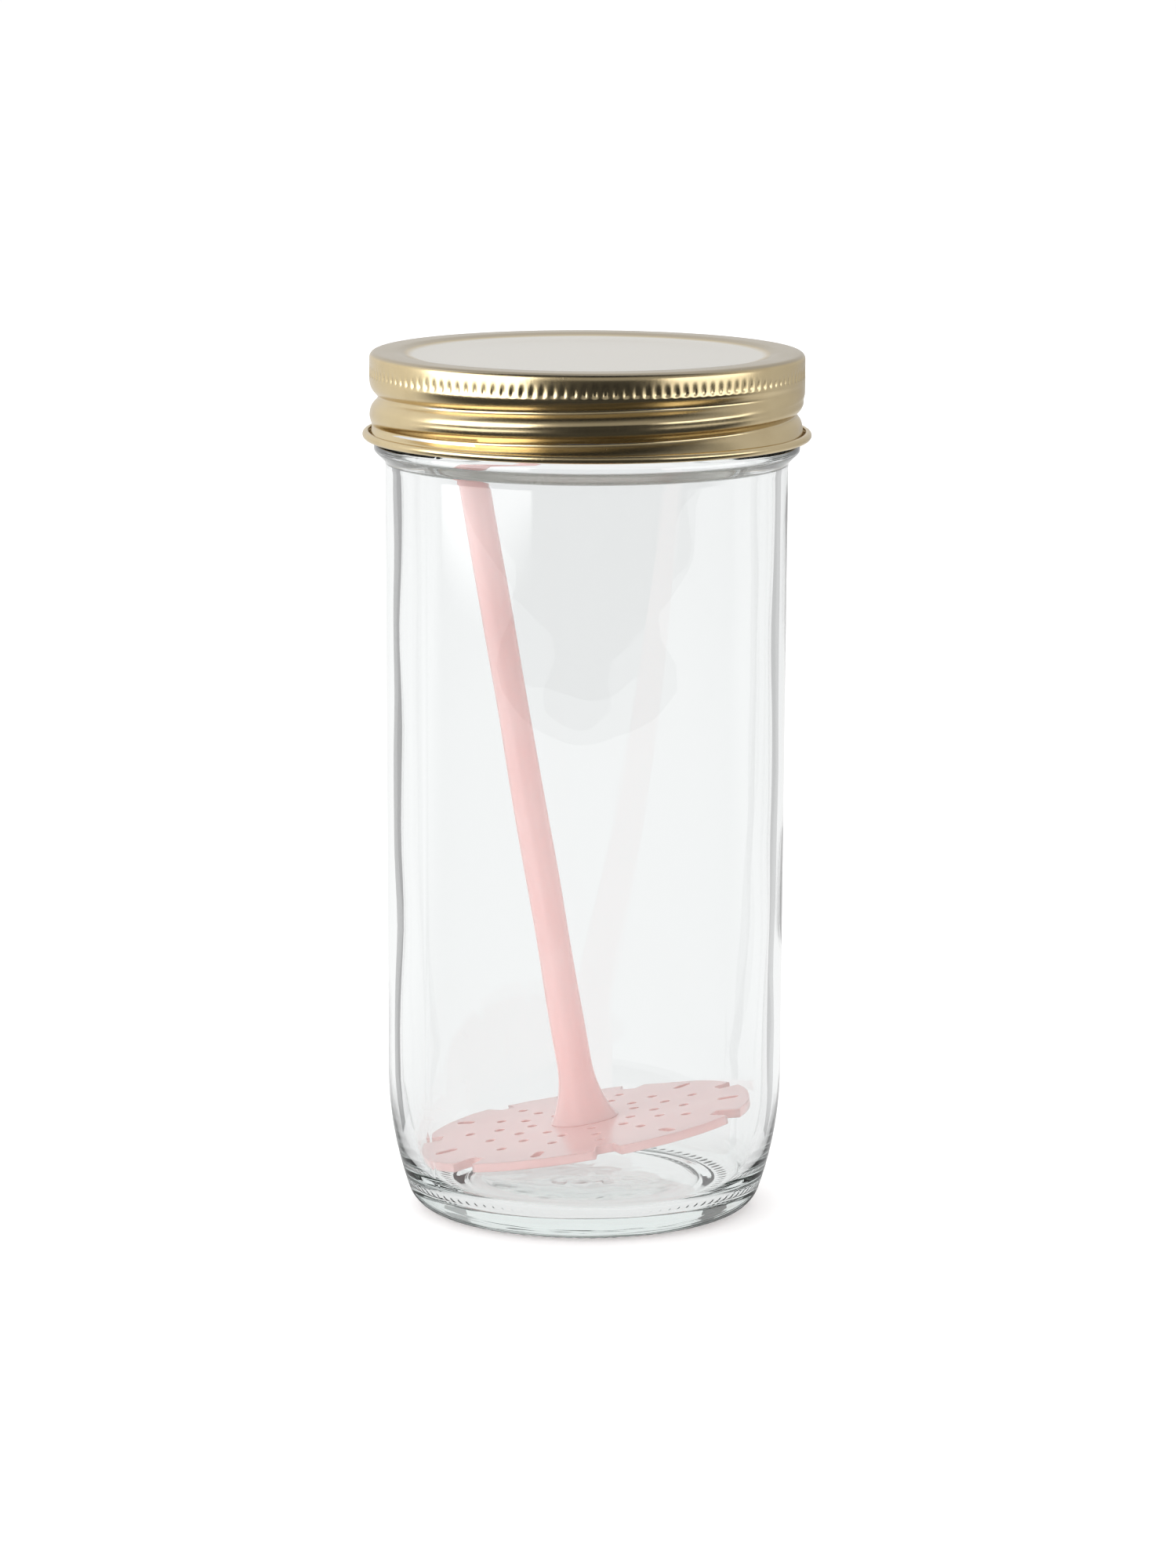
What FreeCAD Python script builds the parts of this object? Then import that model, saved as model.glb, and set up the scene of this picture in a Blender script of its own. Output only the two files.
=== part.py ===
import FreeCAD, Part
import math
import os

# Wide-mouth mason jar with a one-piece gold screw lid and a loose pickle lifter inside.
# Millimetres. The origin is the centre of the jar's bearing ring, and +Z runs up the jar's axis.

# ---- glass jar ----
jar_height = 176.35         # base to the flat land of the mouth
body_d = 81.2               # body diameter just above the heel
body_flare = 0.9            # how much wider the body is under the transfer bead
body_wall = 3.0
heel_height = 28.9          # where the long heel curve leaves the body
heel_sweep_r = 75.0         # long heel curve
heel_r = 5.9                # tight corner down to the bearing ring
bearing_w = 2.6             # flat width of the bearing ring
push_up = 2.2               # rise of the hollow under the base
push_up_run = 4.4           # how far inwards the hollow's slope runs
base_t = 4.6                # floor height above the bearing ring
floor_dome = 1.8            # rise of the floor towards the middle
inner_sweep_r = 62.0        # long inside curve, from the wall down to the floor's corner
inner_heel_r = 5.0          # inside corner round the floor

# ---- jar finish: mouth, thread and transfer bead ----
neck_d = 83.8               # thread root diameter
finish_wall = 3.9           # glass between the bore and the thread root
mouth_round = 1.6           # rounded outer edge of the sealing land
thread_rise = 1.2           # how far the thread stands out
thread_crest_w = 1.2
thread_root_w = 3.0
thread_pitch = 6.35         # four threads to the inch, right-handed
thread_run = 8.57           # height that the thread climbs, end to end
thread_top_gap = 3.2        # mouth land down to the middle of the thread's top end
thread_top_angle = 330.0    # where that end lies, counter-clockwise from +X
bead_out = 1.5              # how far the transfer bead stands out from the neck
bead_height = 4.6
bead_side_step = 0.92       # height of the bead's upper slope

# ---- lid shell ----
sheet = 0.28                # tinplate thickness
lid_side_gap = 0.92         # thread crest to the skirt's inside
lid_corner_r = 1.2
rim_w = 6.0                 # flat rim around the recessed panel
panel_slope_w = 2.4
panel_drop = 0.75
curl_tube_d = 1.7           # rolled edge at the bottom of the skirt
curl_end_angle = 120.0      # where the rolled edge stops, short of the skirt
curl_under_groove = 1.7     # groove's low end down to the middle of the rolled edge
curl_over_bead = 0.8        # middle of the rolled edge down to the transfer bead's top
groove_root_gap = 0.57      # inside of the groove to the thread root
groove_bottom_w = 0.9
groove_flank = 0.45         # half-width gained for each millimetre outwards
groove_run = 7.14           # height that the groove climbs, end to end
groove_lead = 2.1           # how far the groove runs below the middle of the glass thread
groove_top_lag = 45.0       # degrees that the groove's top end lies before the thread's

# ---- liner ring ----
seal_t = 0.72
seal_gap = 0.05             # liner to mouth land
seal_side_gap = 0.15        # liner to the bends on both sides of the flat rim

# ---- pickle lifter ----
plate_gap = 2.6             # plate's edge to the narrowest part of the bore or body
plate_t = 1.8
plate_tilt = 10.0           # lean of the lifter about the Y axis, handle towards -X
plate_lean = 2.8            # lean about the X axis, handle towards +Y
plate_x = 0.4
notch_count = 7
notch_w = 3.4
notch_depth = 4.2
notch_flare = 10.0          # degrees that each side of a notch opens
notch_angle = 82.0          # first notch, clockwise from +X seen from above
slot_w = 1.9
slot_len = 4.4
slot_rim_gap = 2.4
hole_d = 2.0
slot_ray_holes = (14.7, 21.0)           # hole places outwards from the centre, in line with a slot
notch_ray_holes = (11.2, 18.2, 24.5)    # and in line with a notch
handle_d = 7.1              # just above the foot
handle_tip_d = 6.4          # at the top of the drafted rod
handle_headroom = 18.0      # mouth land down to the top of the handle
handle_top_r = 2.4
foot_d = 14.2
foot_height = 13.0
spigot_d = 5.0
lifter_gap = 0.35           # plate edge to the glass where it rests

# ---- worked out from the sizes above ----
body_r = body_d / 2
body_top_r = body_r + body_flare / 2
wall_r = body_r - body_wall
ring_r = (body_r - heel_sweep_r) + math.sqrt((heel_sweep_r - heel_r) ** 2 - (heel_height - heel_r) ** 2)
ring_in_r = ring_r - bearing_w
inner_sweep_x = wall_r - inner_sweep_r
inner_rise = heel_height - base_t - inner_heel_r
floor_r = inner_sweep_x + math.sqrt((inner_sweep_r - inner_heel_r) ** 2 - inner_rise ** 2)
neck_r = neck_d / 2
bore_r = neck_r - finish_wall
land_r = neck_r - mouth_round
thread_r = neck_r + thread_rise
thread_turns = thread_run / thread_pitch
thread_top_z = jar_height - thread_top_gap
lid_r = thread_r + lid_side_gap + sheet
lid_top = jar_height + seal_gap + seal_t + sheet
groove_depth = lid_r - sheet - neck_r - groove_root_gap
groove_turns = groove_run / thread_pitch
groove_top_z = thread_top_z - groove_lead - thread_pitch * groove_top_lag / 360
curl_z = groove_top_z - groove_run - curl_under_groove
bead_top = curl_z - curl_over_bead
bead_low = bead_top - bead_height
plate_r = min(bore_r, wall_r) - plate_gap
lifter_turn = FreeCAD.Rotation(FreeCAD.Vector(0, 1, 0), -plate_tilt)
lifter_turn = lifter_turn.multiply(FreeCAD.Rotation(FreeCAD.Vector(1, 0, 0), -plate_lean))
lifter_axis = lifter_turn.multVec(FreeCAD.Vector(0, 0, 1))

os.makedirs("parts", exist_ok=True)
AXIS_BASE = FreeCAD.Vector(0, 0, 0)
UP = FreeCAD.Vector(0, 0, 1)


def point(r, z):
    """A point of a section in the XZ plane."""
    return FreeCAD.Vector(r, 0, z)


def line(a, b):
    return Part.LineSegment(point(*a), point(*b)).toShape()


def arc(a, centre, b, radius):
    """A circular arc from a to b that bulges away from its centre, on the shorter way round."""
    ax, az = a[0] - centre[0], a[1] - centre[1]
    bx, bz = b[0] - centre[0], b[1] - centre[1]
    mx, mz = ax + bx, az + bz
    size = math.hypot(mx, mz)
    middle = (centre[0] + mx / size * radius, centre[1] + mz / size * radius)
    return Part.Arc(point(*a), point(*middle), point(*b)).toShape()


def revolve(edges):
    """A solid of revolution about the jar's axis from a closed run of section edges."""
    face = Part.Face(Part.Wire(edges))
    solid = face.revolve(AXIS_BASE, UP, 360)
    return Part.Solid(solid.Shells[0]) if solid.ShapeType != "Solid" else solid


def polygon(points):
    return [line(a, b) for a, b in zip(points, points[1:] + points[:1])]


def helix_ridge(points, radius, start_angle, start_z, turns, pitch):
    """A section in r and z, about its own middle in z, carried up a right-handed helix."""
    path = Part.makeHelix(pitch, pitch * turns, radius)
    solid = Part.Wire(path.Edges).makePipeShell([Part.Wire(polygon(points))], True, True)
    solid.rotate(AXIS_BASE, UP, start_angle)
    solid.translate(FreeCAD.Vector(0, 0, start_z))
    return solid


def save(shape, name):
    solid = shape.removeSplitter()
    if len(solid.Solids) == 1:
        solid = solid.Solids[0]
    print(name, solid.ShapeType, len(solid.Solids), solid.isValid(), round(solid.Volume, 1))
    solid.exportStep("parts/" + name + ".step")


# ---- glass jar ----
def heel_joint(sweep_centre, sweep_radius, corner_centre):
    """Where the heel's corner arc runs tangentially into its long arc."""
    dx = corner_centre[0] - sweep_centre[0]
    dz = corner_centre[1] - sweep_centre[1]
    size = math.hypot(dx, dz)
    return sweep_centre[0] + dx / size * sweep_radius, sweep_centre[1] + dz / size * sweep_radius


def jar_outside():
    """Everything inside the outer skin, from the bearing ring to the mouth land."""
    sweep_centre = (body_r - heel_sweep_r, heel_height)
    corner_centre = (ring_r, heel_r)
    joint = heel_joint(sweep_centre, heel_sweep_r, corner_centre)
    shoulder = (body_top_r, bead_low)
    belly = (neck_r + bead_out, bead_low + bead_height / 2)
    belly_top = (neck_r + bead_out, bead_top - bead_side_step)
    neck_low = (neck_r, bead_top)
    neck_top = (neck_r, jar_height - mouth_round)
    land = (land_r, jar_height)
    hollow = ring_in_r - push_up_run
    return revolve([
        line((0, push_up), (hollow, push_up)),
        line((hollow, push_up), (ring_in_r, 0)),
        line((ring_in_r, 0), (ring_r, 0)),
        arc((ring_r, 0), corner_centre, joint, heel_r),
        arc(joint, sweep_centre, (body_r, heel_height), heel_sweep_r),
        line((body_r, heel_height), shoulder),
        line(shoulder, belly),
        line(belly, belly_top),
        line(belly_top, neck_low),
        line(neck_low, neck_top),
        arc(neck_top, (land_r, jar_height - mouth_round), land, mouth_round),
        line(land, (0, jar_height)),
        line((0, jar_height), (0, push_up)),
    ])


def jar_inside():
    """The space inside the jar, run out past the mouth."""
    mouth = jar_height + 5
    crown = base_t + floor_dome
    dome_r = (floor_r ** 2 + floor_dome ** 2) / (2 * floor_dome)
    half = math.asin(floor_r / dome_r) / 2
    middle = (dome_r * math.sin(half), crown - dome_r + dome_r * math.cos(half))
    sweep_centre = (inner_sweep_x, heel_height)
    corner_centre = (floor_r, base_t + inner_heel_r)
    joint = heel_joint(sweep_centre, inner_sweep_r, corner_centre)
    return revolve([
        Part.Arc(point(0, crown), point(*middle), point(floor_r, base_t)).toShape(),
        arc((floor_r, base_t), corner_centre, joint, inner_heel_r),
        arc(joint, sweep_centre, (wall_r, heel_height), inner_sweep_r),
        line((wall_r, heel_height), (body_top_r - body_wall, bead_low)),
        line((body_top_r - body_wall, bead_low), (bore_r, bead_low + bead_height / 2)),
        line((bore_r, bead_low + bead_height / 2), (bore_r, mouth)),
        line((bore_r, mouth), (0, mouth)),
        line((0, mouth), (0, crown)),
    ])


def glass_thread():
    buried = 0.4
    slope = (thread_root_w - thread_crest_w) / (2 * thread_rise)
    root = thread_root_w / 2 + buried * slope
    crest = thread_crest_w / 2
    section = [(neck_r - buried, -root), (thread_r, -crest), (thread_r, crest), (neck_r - buried, root)]
    start_angle = thread_top_angle - 360 * thread_turns
    start_z = thread_top_z - thread_run
    return helix_ridge(section, neck_r, start_angle, start_z, thread_turns, thread_pitch)


def make_jar():
    return jar_outside().fuse(glass_thread()).cut(jar_inside())


# ---- lid shell ----
def lid_section(inset):
    """The lid's section, set in by inset and closed along the axis and across the skirt's end."""
    top = lid_top - inset
    wall = lid_r - inset
    corner = lid_corner_r - inset
    rim_edge = lid_r - rim_w
    panel_edge = rim_edge - panel_slope_w
    skirt_end = curl_z
    return [
        line((0, skirt_end), (wall, skirt_end)),
        line((wall, skirt_end), (wall, top - corner)),
        arc((wall, top - corner), (wall - corner, top - corner), (wall - corner, top), corner),
        line((wall - corner, top), (rim_edge, top)),
        line((rim_edge, top), (panel_edge, top - panel_drop)),
        line((panel_edge, top - panel_drop), (0, top - panel_drop)),
        line((0, top - panel_drop), (0, skirt_end)),
    ]


def groove_cutter(grown):
    """The rolled groove's space, grown by the sheet thickness for its inside face."""
    bottom = lid_r - groove_depth - grown
    outer = lid_r + 1.0
    side = grown * math.hypot(1, groove_flank)
    narrow = groove_bottom_w / 2 + side - grown * groove_flank
    wide = groove_bottom_w / 2 + side + (outer - lid_r + groove_depth) * groove_flank
    section = [(bottom, -narrow), (outer, -wide), (outer, wide), (bottom, narrow)]
    extra = grown / (2 * math.pi * lid_r)
    start_angle = thread_top_angle - groove_top_lag - 360 * (groove_turns + extra)
    start_z = groove_top_z - thread_pitch * (groove_turns + extra)
    return helix_ridge(section, lid_r, start_angle, start_z, groove_turns + 2 * extra, thread_pitch)


def lid_curl():
    """The skirt's bottom edge rolled outwards into an open tube."""
    outer = curl_tube_d / 2
    inner = outer - sheet
    centre_r = lid_r - sheet + outer

    def at(radius, degrees):
        turn = math.radians(degrees)
        return FreeCAD.Vector(centre_r + radius * math.cos(turn), 0, curl_z + radius * math.sin(turn))

    end = curl_end_angle
    middle = (180 + 360 + end) / 2
    big = Part.Arc(at(outer, 180), at(outer, middle), at(outer, end)).toShape()
    small = Part.Arc(at(inner, 180), at(inner, middle), at(inner, end)).toShape()
    close_end = Part.LineSegment(at(outer, end), at(inner, end)).toShape()
    close_start = Part.LineSegment(at(inner, 180), at(outer, 180)).toShape()
    return revolve([big, close_end, small, close_start])


def make_lid():
    skin = revolve(lid_section(0)).cut(groove_cutter(0))
    space = revolve(lid_section(sheet)).cut(groove_cutter(sheet))
    return skin.cut(space).fuse(lid_curl())


# ---- liner ring ----
def make_seal():
    top = lid_top - sheet
    outer = lid_r - lid_corner_r - seal_side_gap
    inner = lid_r - rim_w + seal_side_gap
    return revolve(polygon([(inner, top - seal_t), (outer, top - seal_t), (outer, top), (inner, top)]))


# ---- pickle lifter, built upright with the plate's underside at z = 0 ----
def heel_inside_z(reach):
    """Height of the floor's or the heel's inside surface at this distance from the jar's axis."""
    joint = heel_joint((inner_sweep_x, heel_height), inner_sweep_r, (floor_r, base_t + inner_heel_r))
    if reach < floor_r:
        dome_r = (floor_r ** 2 + floor_dome ** 2) / (2 * floor_dome)
        return base_t + floor_dome - dome_r + math.sqrt(dome_r ** 2 - reach ** 2) + lifter_gap
    if reach < joint[0]:
        return base_t + inner_heel_r - math.sqrt(inner_heel_r ** 2 - (reach - floor_r) ** 2)
    return heel_height - math.sqrt(max(0, inner_sweep_r ** 2 - (reach - inner_sweep_x) ** 2))


def rest_height():
    """How high the plate's centre sits when the lowest part of its rim meets the heel."""
    height = 0
    for degrees in range(360):
        turn = math.radians(degrees)
        rim = lifter_turn.multVec(FreeCAD.Vector(plate_r * math.cos(turn), plate_r * math.sin(turn), 0))
        reach = math.hypot(rim.x + plate_x, rim.y) + lifter_gap
        height = max(height, heel_inside_z(reach) - rim.z)
    return height


plate_z = rest_height()
handle_len = (jar_height - handle_headroom - plate_z) / lifter_axis.z


def place_lifter(shape):
    """Lean the lifter over, with its low edge resting on the curve of the heel."""
    placed = shape.copy()
    placed.Placement = FreeCAD.Placement(FreeCAD.Vector(plate_x, 0, plate_z), lifter_turn)
    return placed


def radial_prism(points, angle, height):
    """A flat outline in (outwards, sideways), raised and turned to its place on the plate."""
    outline = [FreeCAD.Vector(x, y, -1) for x, y in points]
    face = Part.Face(Part.makePolygon(outline + outline[:1]))
    prism = face.extrude(FreeCAD.Vector(0, 0, height + 2))
    prism.rotate(AXIS_BASE, UP, -angle)
    return prism


def plate_hole(radius, angle, diameter):
    turn = math.radians(-angle)
    centre = FreeCAD.Vector(radius * math.cos(turn), radius * math.sin(turn), -1)
    return Part.makeCylinder(diameter / 2, plate_t + 2, centre)


def make_plate():
    plate = Part.makeCylinder(plate_r, plate_t)
    step = 360 / notch_count
    past = plate_r + 1
    notch_in = plate_r - notch_depth
    open_w = notch_w / 2 + math.tan(math.radians(notch_flare)) * (past - notch_in)
    notch = [(notch_in, -notch_w / 2), (past, -open_w), (past, open_w), (notch_in, notch_w / 2)]
    slot_out = plate_r - slot_rim_gap - slot_w / 2
    slot_in = slot_out - slot_len + slot_w
    slot = [(slot_in, -slot_w / 2), (slot_out, -slot_w / 2), (slot_out, slot_w / 2), (slot_in, slot_w / 2)]
    cuts = [plate_hole(0, 0, spigot_d)]
    for index in range(notch_count):
        notch_ray = notch_angle + step * index
        slot_ray = notch_ray + step / 2
        cuts.append(radial_prism(notch, notch_ray, plate_t))
        cuts.append(radial_prism(slot, slot_ray, plate_t))
        cuts.append(plate_hole(slot_in, slot_ray, slot_w))
        cuts.append(plate_hole(slot_out, slot_ray, slot_w))
        cuts += [plate_hole(radius, notch_ray, hole_d) for radius in notch_ray_holes]
        cuts += [plate_hole(radius, slot_ray, hole_d) for radius in slot_ray_holes]
    return place_lifter(plate.cut(cuts))


def make_handle():
    """A drafted rod with a flared foot below and a spigot that fills the plate's centre hole."""
    rod_r = handle_d / 2
    tip_r = handle_tip_d / 2
    foot_r = foot_d / 2
    foot_top = plate_t + foot_height
    flare_w = foot_r - rod_r
    bend = (flare_w ** 2 + foot_height ** 2) / (2 * flare_w)
    foot_edge = (foot_r, plate_t)
    foot_end = (rod_r, foot_top)
    centre = (rod_r + bend, foot_top)
    half = math.asin(foot_height / bend) / 2
    middle = (centre[0] - bend * math.cos(half), centre[1] - bend * math.sin(half))
    tip = plate_t + handle_len
    corner = (tip_r - handle_top_r, tip - handle_top_r)
    rod = revolve([
        line((0, 0), (spigot_d / 2, 0)),
        line((spigot_d / 2, 0), (spigot_d / 2, plate_t)),
        line((spigot_d / 2, plate_t), foot_edge),
        Part.Arc(point(*foot_edge), point(*middle), point(*foot_end)).toShape(),
        line(foot_end, (tip_r, tip - handle_top_r)),
        arc((tip_r, tip - handle_top_r), corner, (corner[0], tip), handle_top_r),
        line((corner[0], tip), (0, tip)),
        line((0, tip), (0, 0)),
    ])
    return place_lifter(rod)


save(make_jar(), "jar")
save(make_lid(), "lid_shell")
save(make_seal(), "lid_seal")
save(make_plate(), "lifter_plate")
save(make_handle(), "lifter_handle")
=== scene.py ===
import math
import bpy
import numpy as np
from mathutils import Matrix, Vector


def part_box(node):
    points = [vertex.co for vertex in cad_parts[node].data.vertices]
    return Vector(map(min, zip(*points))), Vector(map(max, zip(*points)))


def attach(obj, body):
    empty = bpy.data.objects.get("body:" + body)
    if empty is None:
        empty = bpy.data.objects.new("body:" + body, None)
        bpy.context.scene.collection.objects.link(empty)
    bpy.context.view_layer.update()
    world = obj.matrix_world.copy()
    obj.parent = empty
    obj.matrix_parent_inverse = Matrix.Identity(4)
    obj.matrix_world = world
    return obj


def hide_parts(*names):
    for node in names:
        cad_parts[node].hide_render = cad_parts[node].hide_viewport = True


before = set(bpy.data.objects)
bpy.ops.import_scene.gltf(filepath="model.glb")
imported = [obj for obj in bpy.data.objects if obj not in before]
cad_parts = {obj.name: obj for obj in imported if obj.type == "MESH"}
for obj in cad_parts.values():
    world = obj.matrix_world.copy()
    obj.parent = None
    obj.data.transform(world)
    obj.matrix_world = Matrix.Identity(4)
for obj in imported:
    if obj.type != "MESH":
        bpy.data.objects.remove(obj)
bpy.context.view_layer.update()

mm = 0.001


# A CAD node's lowest and highest corners in millimetres.
def boxOf(node):
    return np.array([list(corner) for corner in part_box(node)]) / mm


# A shader socket that can stand in a Python expression.
class Val:
    def __init__(self, shader, socket):
        self.shader, self.socket = shader, socket

    def math(self, operation, *others):
        settings = {"operation": operation}
        return self.shader.node("ShaderNodeMath", settings, dict(enumerate((self, *others))))

    def __add__(self, other):
        return self.math("ADD", other)

    def __mul__(self, other):
        return self.math("MULTIPLY", other)

    def __sub__(self, other):
        return self.math("SUBTRACT", other)

    def __rsub__(self, other):
        return (self * -1.0) + other

    __radd__ = __add__
    __rmul__ = __mul__

    # 0 below low, 1 above high, smooth between.
    def ramp(self, low, high):
        return self.shader.node("ShaderNodeMapRange", {"interpolation_type": "SMOOTHSTEP"},
                                {0: self, 1: low, 2: high, 3: 0.0, 4: 1.0})


# One node tree, emptied, with a single way to add a node.
class Shader:
    def __init__(self, owner):
        owner.use_nodes = True
        self.tree = owner.node_tree
        self.tree.nodes.clear()

    def node(self, kind, settings=None, inputs=None, output=0):
        made = self.tree.nodes.new(kind)
        for key, value in (settings or {}).items():
            setattr(made, key, value)
        for key, value in (inputs or {}).items():
            if isinstance(value, Val):
                self.tree.links.new(value.socket, made.inputs[key])
            else:
                made.inputs[key].default_value = value
        return Val(self, made.outputs[output]) if len(made.outputs) else made

    def path(self, output):
        return self.node("ShaderNodeLightPath", output=output)

    def place(self):
        return self.node("ShaderNodeTexCoord", output=3)

    def scaled(self, vector, scale):
        return self.node("ShaderNodeMapping", None, {0: vector, 3: scale})

    def noise(self, vector, scale, detail=3.0, rough=0.5):
        return self.node("ShaderNodeTexNoise", None, {
            "Vector": vector, "Scale": scale, "Detail": detail, "Roughness": rough})

    def blend(self, share, first, second):
        return self.node("ShaderNodeMix", {"data_type": "RGBA"}, {0: share, 6: first, 7: second}, 2)

    def bump(self, height, strength, distance):
        return self.node("ShaderNodeBump", None, {
            "Strength": strength, "Distance": distance, "Height": height})


def newMaterial(name):
    made = bpy.data.materials.new(name)
    return made, Shader(made)


def ringAngles(count):
    return np.arange(count) * 2 * np.pi / count


def smoothStep(low, high, value):
    t = np.clip((value - low) / (high - low), 0, 1)
    return t * t * (3 - 2 * t)


# Points from a towards b, leaving b out.
def straight(a, b, count):
    t = np.linspace(0, 1, count, endpoint=False)[:, None]
    return np.array(a) * (1 - t) + np.array(b) * t


# Points on a circle from one angle towards another, leaving the last out.
def arc(centre, radius, startDeg, endDeg, count):
    t = np.radians(np.linspace(startDeg, endDeg, count, endpoint=False))
    return np.stack([centre[0] + radius * np.cos(t), centre[1] + radius * np.sin(t)], 1)


# Rounds a profile's corners: each point becomes the average of its run over width.
def softened(profile, width):
    steps = np.r_[0, np.cumsum(np.hypot(*np.diff(profile, axis=0).T))]
    fine = np.linspace(0, steps[-1], 6000)
    reach = max(1, int(width / steps[-1] * 6000))
    kernel = np.hanning(2 * reach + 3)[1:-1]
    kernel /= kernel.sum()
    out = []
    for column in profile.T:
        values = np.interp(fine, steps, column)
        before, after = values[reach:0:-1], values[-2:-reach - 2:-1]
        padded = np.r_[2 * values[0] - before, values, 2 * values[-1] - after]
        out.append(np.interp(steps, fine, np.convolve(padded, kernel, "valid")))
    return np.stack(out, 1)


# A mesh from points in rows by columns, where the columns run round and meet.
# A pole closes an open end with a fan, and closed joins the last row to the first.
def ringSurface(name, rows, poleStart=None, poleEnd=None, closed=False):
    count, around = rows.shape[:2]
    points = rows.reshape(-1, 3)
    index = np.arange(count * around).reshape(count, around)
    if closed:
        index = np.vstack([index, index[:1]])
    a, b = index[:-1], index[1:]
    quads = np.stack([a, np.roll(a, -1, 1), np.roll(b, -1, 1), b], -1).reshape(-1, 4)
    faces = quads.tolist()
    for pole, row, flip in ((poleStart, index[0], True), (poleEnd, index[-1], False)):
        if pole is None:
            continue
        points = np.vstack([points, pole])
        fan = np.stack([row, np.roll(row, -1), np.full(around, len(points) - 1)], -1)
        faces += (fan[:, ::-1] if flip else fan).tolist()
    mesh = bpy.data.meshes.new(name)
    mesh.from_pydata((points * mm).tolist(), [], faces)
    mesh.shade_smooth()
    mesh.update()
    piece = bpy.data.objects.new(name, mesh)
    bpy.context.collection.objects.link(piece)
    return piece


# Radius and height over rows by columns, turned into points.
def spun(radius, height, angle):
    return np.stack([radius * np.cos(angle), radius * np.sin(angle), height + 0 * angle], -1)


def finishPiece(piece, body, slotName, material, *nodes):
    piece.data.materials.append(material)
    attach(piece, body)
    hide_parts(*nodes)
    print(piece.name, len(piece.data.polygons), "faces")


view = {
    "aim": (0.0005, 0.0, 0.0881),
    "distance": 1.2132,
    "pitch": 10.06,   # degrees looking down
    "roll": 0.24,     # degrees
    "lens": 135.4,
}


def makeCamera():
    data = bpy.data.cameras.new("camera")
    data.lens = view["lens"]
    data.sensor_width = 36
    data.clip_start = 0.05
    camera = bpy.data.objects.new("camera", data)
    bpy.context.collection.objects.link(camera)
    pitch = math.radians(view["pitch"])
    back = Vector((0, -math.cos(pitch), math.sin(pitch)))
    camera.location = Vector(view["aim"]) + back * view["distance"]
    raised = Matrix.Rotation(math.radians(90 - view["pitch"]), 4, "X")
    turn = raised @ Matrix.Rotation(math.radians(view["roll"]), 4, "Z")
    camera.rotation_euler = turn.to_euler()
    bpy.context.scene.camera = camera
    print("camera placed")


makeCamera()


glassLook = {
    "tint": (0.983, 0.990, 0.990, 1),
    # partly painted shade: the thick base is tinted greener, as thick glass is, and darker than that,
    # standing in for the shade seen in the base
    "baseTintAndShade": (0.935, 0.955, 0.948, 1),
    "depthColour": (0.74, 0.86, 0.84, 1),
    "depthDensity": 6.0,
    "ior": 1.52,
    "ripple": 0.00010,
}
jarShape = {
    "bodyR": 40.6, "bodyFlare": 0.45, "wall": 3.0,
    "heelHeight": 28.9, "heelSweepR": 75.0, "heelR": 5.9,
    "bearingWidth": 2.6, "pushUp": 2.2, "pushUpRun": 4.4,
    "floor": 4.6, "floorDome": 1.8, "innerHeelR": 7.0, "innerSweepR": 62.0,
    "neckR": 41.9, "boreR": 38.0, "mouthRound": 1.6,
    "beadTop": 16.65,      # below the mouth
    "beadHeight": 4.6, "beadOut": 1.5, "beadStep": 0.92,
    "threadRise": 1.2, "threadCrest": 0.6, "threadRoot": 1.5, "threadPitch": 6.35,
    "threadRun": 8.57, "threadTopGap": 3.2, "threadTopAngle": 330.0, "threadFade": 22.0,
    "seamAngle": 38.0, "seamRise": 0.04,
    "ringSeamHeight": 154.6,
    "knurls": 85, "knurlDepth": 0.32,
    "around": 510,
    "innerWaves": 0.16, "outerWaves": 0.035, "seed": 7,
}


# A sum of slow cosines round and up the wall, with fixed random phases.
def waves(angle, height, size, tall, seed):
    pick = np.random.default_rng(seed)
    total = 0
    for turns in (1, 2, 3, 5, 8, 13):
        phase = pick.uniform(0, 2 * np.pi, 3)
        climb = pick.uniform(0.5, 2.2) * 2 * np.pi / tall
        total = total + np.cos(turns * angle + phase[0] + 0.8 * np.sin(height * climb + phase[1])) \
            * np.cos(height * climb * 1.7 + phase[2]) / turns ** 0.6
    return size * total / 2.2


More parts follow.
